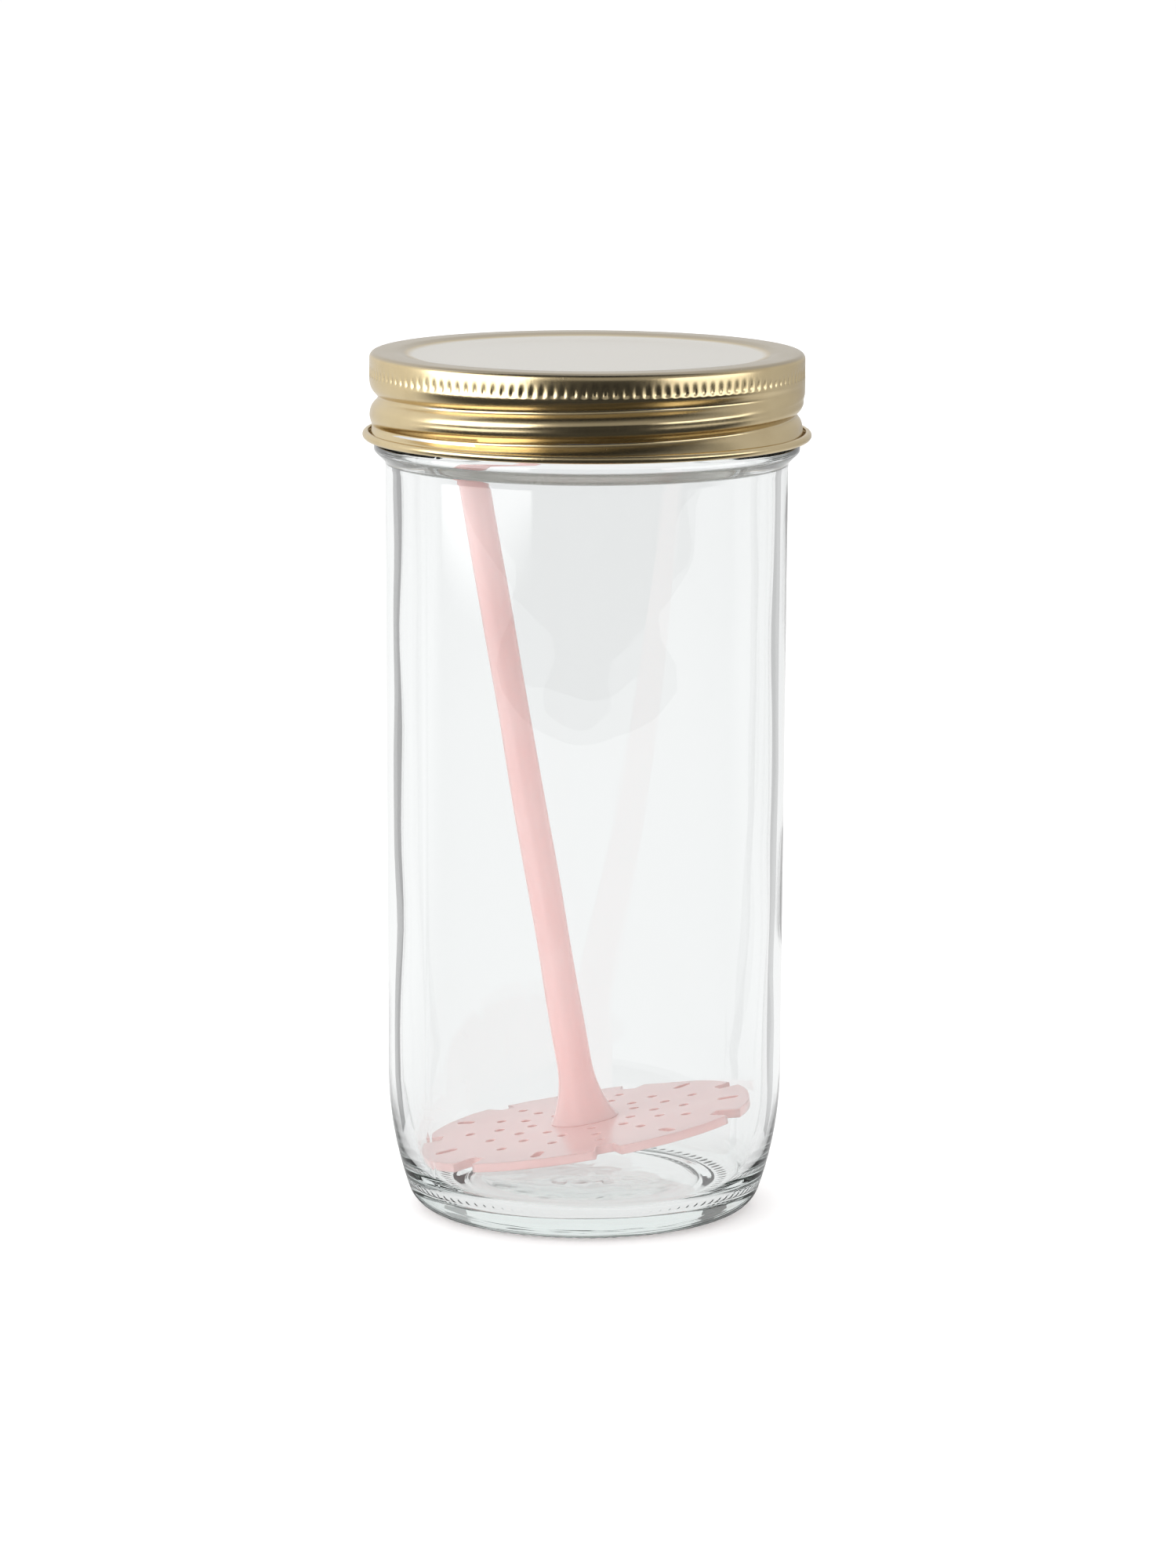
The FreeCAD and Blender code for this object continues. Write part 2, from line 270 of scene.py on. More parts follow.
# The jar's outline from under its base, up the outside, over the mouth and down the inside.
def jarProfile(s, top):
    wallR = s["bodyR"] - s["wall"]
    sweepR, cornerR = s["heelSweepR"], s["heelR"]
    sweepX = s["bodyR"] - sweepR
    rise = s["heelHeight"] - cornerR
    ringR = sweepX + math.sqrt((sweepR - cornerR) ** 2 - rise ** 2)
    joint = math.degrees(math.asin(rise / (sweepR - cornerR)))
    ringIn = ringR - s["bearingWidth"]
    hollow = ringIn - s["pushUpRun"]
    beadTop = top - s["beadTop"]
    beadLow = beadTop - s["beadHeight"]
    beadR = s["neckR"] + s["beadOut"]
    topR = s["bodyR"] + s["bodyFlare"]
    mouthR = s["mouthRound"]
    innerR = s["innerHeelR"]
    innerSweep = s["innerSweepR"]
    innerX = wallR - innerSweep
    innerRise = s["heelHeight"] - s["floor"] - innerR
    floorR = innerX + math.sqrt((innerSweep - innerR) ** 2 - innerRise ** 2)
    innerJoint = math.degrees(math.asin(innerRise / (innerSweep - innerR)))
    outer = np.vstack([
        straight((1.0, s["pushUp"]), (hollow, s["pushUp"]), 9),
        straight((hollow, s["pushUp"]), (ringIn, 0), 6),
        straight((ringIn, 0), (ringR, 0), 6),
        arc((ringR, cornerR), cornerR, -90, -joint, 9),
        arc((sweepX, s["heelHeight"]), sweepR, -joint, 0, 10),
        straight((s["bodyR"], s["heelHeight"]), (topR, beadLow - 2), 22),
        straight((topR, beadLow - 2), (topR, beadLow), 6),
        straight((topR, beadLow), (beadR, beadLow + s["beadHeight"] / 2), 6),
        straight((beadR, beadLow + s["beadHeight"] / 2), (beadR, beadTop - s["beadStep"]), 4),
        straight((beadR, beadTop - s["beadStep"]), (s["neckR"], beadTop), 4),
        straight((s["neckR"], beadTop), (s["neckR"], top - mouthR), 34),
        arc((s["neckR"] - mouthR, top - mouthR), mouthR, 0, 90, 6),
        straight((s["neckR"] - mouthR, top), (s["boreR"] + 0.5, top), 3),
    ])
    mouth = np.vstack([
        arc((s["boreR"] + 0.5, top - 0.5), 0.5, 90, 180, 4),
        straight((s["boreR"], top - 0.5), (s["boreR"], beadLow), 8),
    ])
    inner = np.vstack([
        straight((s["boreR"], beadLow), (wallR, s["heelHeight"]), 24),
        arc((innerX, s["heelHeight"]), innerSweep, 0, -innerJoint, 10),
        arc((floorR, s["floor"] + innerR), innerR, -innerJoint, -90, 9),
        [(floorR * (1 - t), s["floor"] + s["floorDome"] * (1 - (1 - t) ** 2))
         for t in np.linspace(0, 0.95, 9)],
    ])
    return np.vstack([softened(outer, 0.5), mouth, softened(inner, 6.0)]), len(outer)


# Radius and height run along the profile and round the axis. The radius adds the helical thread, a
# raised band whose middle climbs one pitch a turn, then the mould seams and slow waves in the wall.
def makeJar():
    s = jarShape
    top = boxOf("jar")[1, 2]
    profile, outerCount = jarProfile(s, top)
    angle = ringAngles(s["around"])[None, :]
    r, z = profile[:, :1] + 0 * angle, profile[:, 1:] + 0 * angle
    isOuter = (np.arange(len(profile)) < outerCount)[:, None]

    degrees = np.degrees(angle)
    topAngle, topZ = s["threadTopAngle"], top - s["threadTopGap"]
    turns = s["threadRun"] / s["threadPitch"]
    for wrap in (-360, 0):
        along = topAngle - (degrees + wrap)  # degrees below the thread's top end
        middle = topZ - s["threadPitch"] * along / 360
        reach = smoothStep(0, s["threadFade"], along)
        reach = reach * smoothStep(0, s["threadFade"], 360 * turns - along)
        side = 1 - smoothStep(s["threadCrest"] * 0.7, s["threadRoot"], np.abs(z - middle))
        r = r + isOuter * s["threadRise"] * side * reach * (r > s["neckR"] - 0.8)

    wallBand = smoothStep(8, 30, z) * (1 - smoothStep(150, 156, z))
    r = r + isOuter * wallBand * waves(angle, z, s["outerWaves"], 150, s["seed"])
    r = r + ~isOuter * wallBand * waves(angle, z, s["innerWaves"], 120, s["seed"] + 1)
    floorBand = (1 - smoothStep(5, 12, z)) * ~isOuter * smoothStep(0, 6, r)
    z = z + floorBand * waves(angle * 1.0, r * 5, 0.28, 110, s["seed"] + 2)

    seam = np.zeros_like(angle)
    for seamAngle in (s["seamAngle"], s["seamAngle"] + 180):
        away = (degrees - seamAngle + 180) % 360 - 180
        seam = seam + np.exp(-(away / 0.55) ** 2)
    onBody = isOuter & (z > 6) & (z < top - s["beadTop"] - 0.5)
    r = r + onBody * s["seamRise"] * seam
    r = r + onBody * 0.05 * np.exp(-((z - s["ringSeamHeight"]) / 0.35) ** 2)

    ringMiddle = s["bodyR"] - 11.0
    knurl = 0.5 + 0.5 * np.cos(s["knurls"] * angle)
    onRing = isOuter * (z < 1.5) * np.exp(-((r - ringMiddle - 1.2) / 1.3) ** 2)
    z = z + onRing * s["knurlDepth"] * knurl ** 2
    rows = spun(r, z, angle)
    piece = ringSurface("jarGlass", rows, (0, 0, s["pushUp"]), (0, 0, s["floor"] + s["floorDome"]))

    material, m = newMaterial("clearGlass")
    place = m.place()
    height = m.node("ShaderNodeSeparateXYZ", None, {0: place}, 2)
    # The bottom 2 to 12 mm of the glass take the base colour: greener as thick glass is, and darker as
    # painted shade.
    tint = m.blend(height.ramp(0.002, 0.012), glassLook["baseTintAndShade"], glassLook["tint"])
    ripple = m.noise(m.scaled(place, (1, 1, 0.35)), 55.0, 2.0)
    glass = m.node("ShaderNodeBsdfPrincipled", None, {
        "Base Color": tint, "Roughness": 0.0, "IOR": glassLook["ior"], "Transmission Weight": 1.0,
        "Normal": m.bump(ripple, 0.25, glassLook["ripple"]),
    })
    clear = m.node("ShaderNodeBsdfTransparent", None, {0: (0.975, 0.98, 0.977, 1)})
    shadowRay = m.path("Is Shadow Ray")
    surface = m.node("ShaderNodeMixShader", None, {0: shadowRay, 1: glass, 2: clear})
    depth = m.node("ShaderNodeVolumeAbsorption", None,
                   {0: glassLook["depthColour"], 1: glassLook["depthDensity"]})
    m.node("ShaderNodeOutputMaterial", None, {0: surface, 1: depth})
    finishPiece(piece, "jar", "clear_glass", material, "jar")


makeJar()


lidLook = {
    "gold": (0.735, 0.60, 0.36, 1),
    "goldDeep": (0.68, 0.545, 0.315, 1),
    "panel": (0.965, 0.978, 0.99, 1),
    "roughness": 0.24,
    "roughnessChange": 0.10,
    # painted shade: a darker taupe for the rim's flat top, standing in for the dull reflection it shows, not
    # a colour of the sheet
    "rim": (0.50, 0.44, 0.34, 1),
    "edgeTint": (0.82, 0.785, 0.72, 1),
    "silver": (0.80, 0.79, 0.77, 1),     # bare inside of the sheet
    "lacquer": 0.25,
    "lacquerRoughness": 0.10,
    "panelEdge": (0.0352, 0.0372),       # metres from the axis, over which the panel gives way to gold
    "grain": 0.000012,
}
lidShape = {
    "sheet": 0.28, "cornerR": 1.2, "rimWidth": 6.0, "slopeWidth": 2.6, "panelDrop": 0.78,
    "curlTube": 1.7, "curlMiddle": 16.84,   # below the top of the rim
    "curlEnd": 118.0,
    "bandBulge": 0.03, "skirtPinch": 0.32,
    "grooveDepth": 1.75, "grooveHalf": 1.15, "grooveRound": 0.35, "groovePitch": 6.35,
    "grooveTopHeight": 169.95, "grooveTopAngle": 285.0, "grooveRun": 7.14,
    "grooveFade": 75.0, "grooveLevel": 0.55,
    "creaseDepth": 0.17, "creaseHalf": 0.75,
    "knurls": 135, "knurlDepth": 0.30, "knurlTop": 175.5, "knurlBottom": 172.65,
    "stepsPerKnurl": 6,
}


# The sheet's outline: over the top and down the skirt, round inside the rolled edge, back round
# its outside, and up the inside to the middle. Also says which rows are the sheet's outer face.
def lidProfile(s, top, outR):
    sheet = s["sheet"]
    rim = outR - s["rimWidth"]
    panel = rim - s["slopeWidth"]
    tube = s["curlTube"] / 2
    curlZ = top - s["curlMiddle"]
    curlX = outR - sheet + tube
    corner = s["cornerR"]
    skin = np.vstack([
        straight((1.2, top - s["panelDrop"]), (panel - 0.6, top - s["panelDrop"]), 6),
        straight((panel - 0.6, top - s["panelDrop"]), (rim + 0.6, top - 0.0), 9),
        straight((rim + 0.6, top), (outR - corner, top), 4),
        arc((outR - corner, top - corner), corner, 90, 0, 6),
        straight((outR, top - corner), (outR, curlZ + 1.5), 42),
        straight((outR, curlZ + 1.5), (outR, curlZ), 3),
    ])
    skin = softened(skin, 0.5)
    roll = np.vstack([
        arc((curlX, curlZ), tube - sheet, 180, 360 + s["curlEnd"], 7),
        arc((curlX, curlZ), tube, 360 + s["curlEnd"], 180, 17),
    ])
    under = np.vstack([
        straight((outR - sheet, curlZ), (outR - sheet, top - corner), 14),
        arc((outR - corner, top - corner), corner - sheet, 0, 90, 3),
        straight((outR - corner, top - sheet), (rim + 0.3, top - sheet), 2),
        straight((rim + 0.3, top - sheet), (panel, top - s["panelDrop"] - sheet), 3),
        straight((panel, top - s["panelDrop"] - sheet), (1.2, top - s["panelDrop"] - sheet), 2),
    ])
    return np.vstack([skin, roll, under]), len(skin), len(skin) + len(roll)


# How far the skirt is pressed in: a narrow groove between full rolls, whose middle climbs one pitch a
# turn, fading and levelling out at both ends, with a shallow crease half a pitch above it at the front.
def grooveShape(s, degrees, z):
    total = 0
    turns = s["grooveRun"] / s["groovePitch"]
    fade = s["grooveFade"]
    for wrap in (-720, -360, 0):
        along = s["grooveTopAngle"] - (degrees + wrap)   # degrees below the groove's top end
        length = 360 * turns
        past = np.clip(-along, 0, None) + np.clip(along - length, 0, None)
        middle = s["grooveTopHeight"] - s["groovePitch"] * np.clip(along, 0, length) / 360
        middle = middle - s["groovePitch"] * s["grooveLevel"] * (np.clip(along - length, 0, fade)
                                                                - np.clip(-along, 0, fade)) / 360
        strength = 1 - smoothStep(0, fade, past)
        side = (np.hypot(z - middle, s["grooveRound"]) - s["grooveRound"]) / s["grooveHalf"]
        total = np.maximum(total, s["grooveDepth"] * strength * np.exp(-side ** 1.25))
        crease = (z - middle - s["groovePitch"] / 2) / s["creaseHalf"]
        near = smoothStep(length - 170, length - 120, along)
        near = near * (1 - smoothStep(length + 10, length + 60, along))
        total = total + s["creaseDepth"] * near * np.exp(-crease ** 2)
    return total


# Radius over height and angle: the straight skirt, less the groove, less 135 short knurl dents.
def makeLid():
    s = lidShape
    box = boxOf("lid_shell")
    top = box[1, 2]
    outR = (box[1, 0] - box[0, 0]) / 2 - s["curlTube"] + s["sheet"]
    profile, skinCount, rollCount = lidProfile(s, top, outR)
    angle = ringAngles(s["knurls"] * s["stepsPerKnurl"])[None, :]
    r, z = profile[:, :1] + 0 * angle, profile[:, 1:] + 0 * angle
    row = np.arange(len(profile))[:, None]
    isSkin, isUnder = row < skinCount, row >= rollCount
    degrees = np.degrees(angle)
    wall = (isSkin | isUnder) & (r > outR - 1.0)
    low = top - s["curlMiddle"]
    above = smoothStep(low + 0.4, low + 1.6, z)
    groove = grooveShape(s, degrees, z) * above * (1 - smoothStep(171.2, 172.4, z))
    band = np.exp(-((z - 171.6) / 1.0) ** 2) * s["bandBulge"]
    pinch = s["skirtPinch"] * (1 - smoothStep(low + 1.5, low + 4.0, z))
    r = r - wall * (groove - band + pinch * smoothStep(low - 0.2, low + 0.8, z))
    phase = 0.5 + 0.5 * np.cos(s["knurls"] * angle)
    dentTop = smoothStep(s["knurlTop"], s["knurlTop"] - 2.2, z)
    dent = smoothStep(s["knurlBottom"] - 0.12, s["knurlBottom"] + 0.25, z) * dentTop
    deeper = 0.55 + 0.45 * (s["knurlTop"] - z) / 2.9   # the dents are deepest at their lower ends
    r = r - isSkin * wall * s["knurlDepth"] * dent * deeper * phase ** 3
    drop = s["panelDrop"]
    rows = spun(r, z, angle)[::-1]   # from the panel's inside to its outside, so that faces look out
    piece = ringSurface("lidShell", rows, (0, 0, top - drop - s["sheet"]), (0, 0, top - drop))
    inside = np.r_[np.repeat((isUnder[::-1, 0]).astype(np.float32), angle.size), 1, 0].astype(np.float32)
    piece.data.attributes.new("inside", "FLOAT", "POINT").data.foreach_set("value", inside)

    material, m = newMaterial("goldLacquer")
    place = m.place()
    cloud = m.noise(place, 90.0, 4.0)
    grain = m.noise(m.scaled(place, (1, 1, 0.06)), 2600.0, 2.0, 0.6)
    colour = m.blend(cloud.ramp(0.35, 0.7), lidLook["gold"], lidLook["goldDeep"])
    across = m.node("ShaderNodeVectorMath", {"operation": "MULTIPLY"}, {0: place, 1: (1, 1, 0)})
    away = m.node("ShaderNodeVectorMath", {"operation": "LENGTH"}, {0: across}, 1)
    colour = m.blend(1.0 - away.ramp(*lidLook["panelEdge"]), colour, lidLook["panel"])
    height = m.node("ShaderNodeSeparateXYZ", None, {0: place}, 2)
    # Painted shade: the rim's flat top, near the edge and at the very top, is darkened to the rim colour in
    # place of the darker reflection it shows.
    colour = m.blend(away.ramp(0.0362, 0.0376) * height.ramp(0.1766, 0.1772), colour, lidLook["rim"])
    inner = m.node("ShaderNodeAttribute", {"attribute_name": "inside"}, output=2)
    colour = m.blend(inner, colour, lidLook["silver"])
    rough = lidLook["roughness"] + (cloud - 0.5) * lidLook["roughnessChange"] + (grain - 0.5) * 0.08
    metal = m.node("ShaderNodeBsdfPrincipled", None, {
        "Base Color": colour, "Metallic": 1.0, "Roughness": rough, "Specular Tint": lidLook["edgeTint"],
        "Coat Weight": lidLook["lacquer"], "Coat Roughness": lidLook["lacquerRoughness"],
        "Normal": m.bump(grain, 0.5, lidLook["grain"]),
    })
    m.node("ShaderNodeOutputMaterial", None, {0: metal})
    finishPiece(piece, "lid", "gold_tinplate", material, "lid_shell")


makeLid()


sealShape = {"innerR": 38.45, "around": 360, "ripple": 0.03}
sealLook = {"colour": (0.74, 0.71, 0.64, 1), "darker": (0.66, 0.62, 0.55, 1)}


# A flat ring with rounded edges: a rectangle's outline, softened and carried round the axis.
def makeSeal():
    box = boxOf("lid_seal")
    outer = (box[1, 0] - box[0, 0]) / 2 - 0.02
    low, top = box[0, 2], box[1, 2]
    inner = sealShape["innerR"]
    loop = np.vstack([
        straight((inner, top), (inner, low + 0.02), 4),
        straight((inner, low + 0.02), (outer, low + 0.02), 14),
        straight((outer, low + 0.02), (outer, top), 4),
        straight((outer, top), (inner, top), 6),
    ])
    edge = softened(np.vstack([loop, loop[:1]]), 0.5)[:-1]
    angle = ringAngles(sealShape["around"])[None, :]
    wave = sealShape["ripple"] * np.cos(17 * angle + 3 * np.sin(angle))
    z = edge[:, 1:] + wave * (edge[:, 1:] < top - 0.2) * 0.5 + 0.02
    piece = ringSurface("linerRing", spun(edge[:, :1] + 0 * angle, z, angle), closed=True)
    material, m = newMaterial("linerCompound")
    fine = m.noise(m.place(), 700.0, 4.0)
    colour = m.blend(fine.ramp(0.3, 0.7), sealLook["colour"], sealLook["darker"])
    body = m.node("ShaderNodeBsdfPrincipled", None, {
        "Base Color": colour, "Roughness": 0.55 + (fine - 0.5) * 0.2,
        "Normal": m.bump(fine, 0.3, 0.00004)})
    m.node("ShaderNodeOutputMaterial", None, {0: body})
    finishPiece(piece, "lid_seal", "liner_rubber", material, "lid_seal")


makeSeal()


lifterLook = {
    "pink": (0.98, 0.635, 0.615, 1),
    "pinkPale": (0.985, 0.675, 0.655, 1),
    "roughness": 0.24,
    "orangePeel": 0.00003,
    "glow": 0.12,
    "gloss": 0.4, "glossRoughness": 0.12,
}
plateShape = {
    "tilt": 10.0, "lean": 2.8, "thick": 1.8, "edgeRound": 0.22,
    "notches": 7, "notchWidth": 3.4, "notchDepth": 4.2, "notchFlare": 10.0, "notchAngle": 82.0,
    "slotWidth": 1.9, "slotLength": 4.4, "slotRimGap": 2.4,
    "holeD": 2.0, "slotRayHoles": (14.7, 21.0), "notchRayHoles": (11.2, 18.2, 24.5),
}
handleShape = {
    "rodR": 3.55, "tipR": 3.2, "footR": 7.1, "footHeight": 13.0,
    "topRound": 2.4, "spigotR": 2.5, "around": 96,
}


def makePink():
    material, m = newMaterial("pinkPlastic")
    place = m.place()
    cloud = m.noise(place, 45.0, 3.0)
    skin = m.noise(place, 900.0, 2.0)
    colour = m.blend(cloud.ramp(0.3, 0.7), lifterLook["pink"], lifterLook["pinkPale"])
    body = m.node("ShaderNodeBsdfPrincipled", None, {
        "Base Color": colour, "Roughness": lifterLook["roughness"] + (cloud - 0.5) * 0.12,
        "Coat Weight": lifterLook["gloss"], "Coat Roughness": lifterLook["glossRoughness"],
        "Subsurface Weight": lifterLook["glow"], "Subsurface Radius": (1.0, 0.45, 0.4),
        "Subsurface Scale": 0.004,
        "Normal": m.bump(skin, 0.25, lifterLook["orangePeel"]),
    })
    m.node("ShaderNodeOutputMaterial", None, {0: body})
    return material


# The plate's radius, and the matrix from its own flat frame to its leaning place. Along each axis a disc
# reaches its radius times the sine of the angle between that axis and its own, plus its thickness.
def lifterPlace():
    box = boxOf("lifter_plate")
    tilt, lean = math.radians(plateShape["tilt"]), math.radians(plateShape["lean"])
    turn = Matrix.Rotation(-tilt, 4, "Y") @ Matrix.Rotation(-lean, 4, "X")
    normal = np.array(turn.col[2])[:3]
    reach = np.sqrt(1 - normal ** 2)
    radius = (box[1, 0] - box[0, 0] - plateShape["thick"] * abs(normal[0])) / (2 * reach[0])
    inwards = radius * reach
    middle = Vector((box[1, 0] - inwards[0], box[0, 1] + inwards[1], box[0, 2] + inwards[2]))
    return radius, normal, Matrix.Translation(middle) @ turn


def circlePoints(centre, radius, count):
    t = np.arange(count) * 2 * np.pi / count
    return np.stack([centre[0] + radius * np.cos(t), centre[1] + radius * np.sin(t)], 1)


def turned(points, degrees):
    t = math.radians(-degrees)
    return points @ np.array([[math.cos(t), math.sin(t)], [-math.sin(t), math.cos(t)]])


# The rim as one loop: an arc from each notch to the next, and the notch's two sides and floor.
def plateOutline(s, radius, inset):
    step = 360 / s["notches"]
    floorX = radius - s["notchDepth"] - inset
    halfFloor = s["notchWidth"] / 2 + inset
    radius = radius - inset
    openHalf = halfFloor + math.tan(math.radians(s["notchFlare"])) * s["notchDepth"]
    openAngle = math.degrees(math.asin(openHalf / radius))
    loop = []
    for index in range(s["notches"]):
        notch = np.array([(radius * math.cos(math.radians(openAngle)), openHalf),
                          (floorX + 0.3, halfFloor), (floorX, halfFloor - 0.3),
                          (floorX, -halfFloor + 0.3), (floorX + 0.3, -halfFloor),
                          (radius * math.cos(math.radians(openAngle)), -openHalf)])
        rim = np.radians(np.linspace(-openAngle, -(step - openAngle), 40)[1:-1])
        arcPoints = np.stack([radius * np.cos(rim), radius * np.sin(rim)], 1)
        loop.append(turned(np.vstack([notch, arcPoints]), s["notchAngle"] + step * index))
    return np.vstack(loop)


def plateHoles(s, radius, inset):
    step = 360 / s["notches"]
    slotOut = radius - s["slotRimGap"] - s["slotWidth"] / 2
    slotIn = slotOut - s["slotLength"] + s["slotWidth"]
    half = s["slotWidth"] / 2 + inset
    holeR = s["holeD"] / 2 + inset
    ends = np.radians(np.linspace(-90, 90, 9))
    slot = np.vstack([np.stack([slotOut + half * np.cos(ends), half * np.sin(ends)], 1),
                      np.stack([slotIn - half * np.cos(ends), -half * np.sin(ends)], 1)])
    holes = []
    for index in range(s["notches"]):
        ray = s["notchAngle"] + step * index
        holes += [turned(circlePoints((x, 0), holeR, 20), ray) for x in s["notchRayHoles"]]
        holes += [turned(circlePoints((x, 0), holeR, 20), ray + step / 2) for x in s["slotRayHoles"]]
        holes.append(turned(slot, ray + step / 2))
    return holes


# A flat outline with holes, filled and raised, with round edges, then leaned to its place.
def makePlate(material):
    s = plateShape
    radius, normal, place = lifterPlace()
    thick = s["thick"]
    curve = bpy.data.curves.new("plateOutline", "CURVE")
    curve.dimensions = "2D"
    curve.fill_mode = "BOTH"
    inset = s["edgeRound"]
    loops = [plateOutline(s, radius, inset)] + plateHoles(s, radius, inset)
    for points in loops:
        spline = curve.splines.new("POLY")
        spline.points.add(len(points) - 1)
        flat = np.column_stack([points, np.zeros(len(points)), np.ones(len(points))])
        spline.points.foreach_set("co", flat.astype(np.float32).ravel())
        spline.use_cyclic_u = True
    curve.extrude = thick / 2 - inset
    curve.bevel_depth = inset
    curve.bevel_resolution = 3
    holder = bpy.data.objects.new("plateHolder", curve)
    mesh = bpy.data.meshes.new_from_object(holder)
    mesh.name = "lifterPlate"
    bpy.data.objects.remove(holder)
    mesh.transform(Matrix.Scale(mm, 4) @ place @ Matrix.Translation((0, 0, thick / 2)))
    mesh.shade_smooth()
    piece = bpy.data.objects.new("lifterPlate", mesh)
    bpy.context.collection.objects.link(piece)
    mesh.materials.clear()
    finishPiece(piece, "lifter", "pink_plastic", material, "lifter_plate")


# A rod's outline turned about its own axis: the foot is an arc that meets the rod tangentially.
def makeHandle(material):
    s = handleShape
    radius, normal, place = lifterPlace()
    thick = plateShape["thick"]
    overhang = (s["tipR"] - s["topRound"]) * math.sqrt(1 - normal[2] ** 2)
    rise = boxOf("lifter_handle")[1, 2] - place.translation.z - s["topRound"] - overhang
    tip = s["topRound"] + rise / normal[2]
    flare = s["footR"] - s["rodR"]
    bend = (flare ** 2 + s["footHeight"] ** 2) / (2 * flare)
    half = math.degrees(math.asin(s["footHeight"] / bend))
    footTop = thick + s["footHeight"]
    shoulder = tip - s["topRound"]
    profile = np.vstack([
        straight((0.6, 0.03), (s["spigotR"] - 0.1, 0.03), 3),
        straight((s["spigotR"] - 0.1, 0.03), (s["spigotR"] - 0.1, thick), 3),
        straight((s["spigotR"] - 0.1, thick + 0.01), (s["footR"], thick + 0.01), 5),
        straight((s["footR"], thick + 0.01), (s["footR"] + 0.02, thick + 0.25), 3),
        arc((s["rodR"] + bend, footTop), bend, 180 + half - 1.2, 180, 26),
        straight((s["rodR"], footTop), (s["tipR"], shoulder), 60),
        arc((s["tipR"] - s["topRound"], shoulder), s["topRound"], 0, 88, 9),
    ])
    angle = ringAngles(s["around"])[None, :]
    r, z = profile[:, :1] + 0 * angle, profile[:, 1:] + 0 * angle
    rod = smoothStep(footTop, footTop + 20, z)
    r = r + rod * 0.035 * np.cos(2 * angle + z / 22)   # a moulding is never quite round
    flat = spun(r, z, angle)
    matrix = np.array(place)
    rows = flat @ matrix[:3, :3].T + matrix[:3, 3]
    ends = [tuple(place @ Vector((0, 0, h))) for h in (0.03, tip)]
    piece = ringSurface("lifterHandle", rows, ends[0], ends[1])
    finishPiece(piece, "lifter", "pink_plastic", material, "lifter_handle")


pink = makePink()
makePlate(pink)
makeHandle(pink)


studio = {
    "floorColour": (0.90, 0.90, 0.90, 1),
    "floorGlow": 0.13,
    "floorMirrored": (0.05, 0.95, 0.6),   # as polished surfaces mirror it: in front, behind, behind right
    "floorThrough": 0.945, "floorThroughShare": 0.92,   # as it is met through the glass
    "floorMiddle": (0.0, 2.4),
    "floorRadius": 3.0,
    "backdrop": 1.0,       # white wall behind
    "wallLeft": 0.95, "wallRight": 0.62,   # that wall as polished surfaces mirror its two ends
    "fill": 1.34,          # even light on dull surfaces
    "darkRoom": 0.015,     # the room in front, low down, as polished surfaces and the glass meet it
    "upperRoom": 0.34,     # and above eye level
}
flags = (
    # grey cards that only the glass meets: which side, the spread of angles each fills, and its level
    ("leftFlag", -1, 26.5, 40.0, 0.30),
    ("rightFlag", 1, 26.0, 38.0, 0.55),
)
flagPlace = {"edge": 0.038, "near": 0.03, "away": 0.46, "tall": 0.34, "lift": 0.0005}
lamps = (
    # name, place, aimed at, width, height, power, and how bright polished surfaces mirror it
    ("leftBox", (-0.62, -0.36, 0.26), (0, 0, 0.12), 0.95, 0.75, 3.8, 3.9),
    ("rightCard", (0.66, -0.30, 0.20), (0, 0, 0.15), 0.80, 0.30, 0.70, 2.40),
    ("topBox", (-0.25, 0.45, 1.15), (0, 0, 0.1), 0.9, 0.9, 1.6, 0.63),
)


def makeFloor():
    rings = np.array([0.02, 0.1, 0.3, 1.0]) * studio["floorRadius"] / mm
    angle = ringAngles(96)[None, :]
    middle = np.array([*studio["floorMiddle"], 0]) / mm
    rows = spun(rings[::-1, None] + 0 * angle, 0 * rings[:, None] - 0.02 + 0 * angle, angle) + middle
    piece = ringSurface("floor", rows, None, tuple(middle - (0, 0, 0.02)))
    material, m = newMaterial("paleFloor")
    soft = m.noise(m.place(), 3.0, 2.0)
    colour = m.blend(soft, studio["floorColour"], (0.90, 0.90, 0.90, 1))
    body = m.node("ShaderNodeBsdfPrincipled", None, {
        "Base Color": colour, "Roughness": 0.6,
        "Emission Color": (1, 1, 1, 1), "Emission Strength": studio["floorGlow"]})
    x = m.node("ShaderNodeSeparateXYZ", None, {0: m.place()}, 0)
    y = m.node("ShaderNodeSeparateXYZ", None, {0: m.place()}, 1)
    front, back, right = studio["floorMirrored"]
    mirror = front + y.ramp(-0.05, 0.12) * (back - front) * (1.0 - x.ramp(0.0, 0.5) * (1 - right / back))
    mirrored = m.node("ShaderNodeEmission", None, {1: mirror})
    shiny = m.path("Is Reflection Ray") * (1.0 - m.path("Diffuse Depth").math("MINIMUM", 1.0))
    beyond = m.node("ShaderNodeEmission", None, {1: studio["floorThrough"]})
    glazed = m.path("Is Transmission Ray") * (1.0 - m.path("Diffuse Depth").math("MINIMUM", 1.0))
    seen = m.node("ShaderNodeMixShader", None, {0: glazed * studio["floorThroughShare"], 1: body, 2: beyond})
    both = m.node("ShaderNodeMixShader", None, {0: shiny, 1: seen, 2: mirrored})
    m.node("ShaderNodeOutputMaterial", None, {0: both})
    piece.data.materials.append(material)


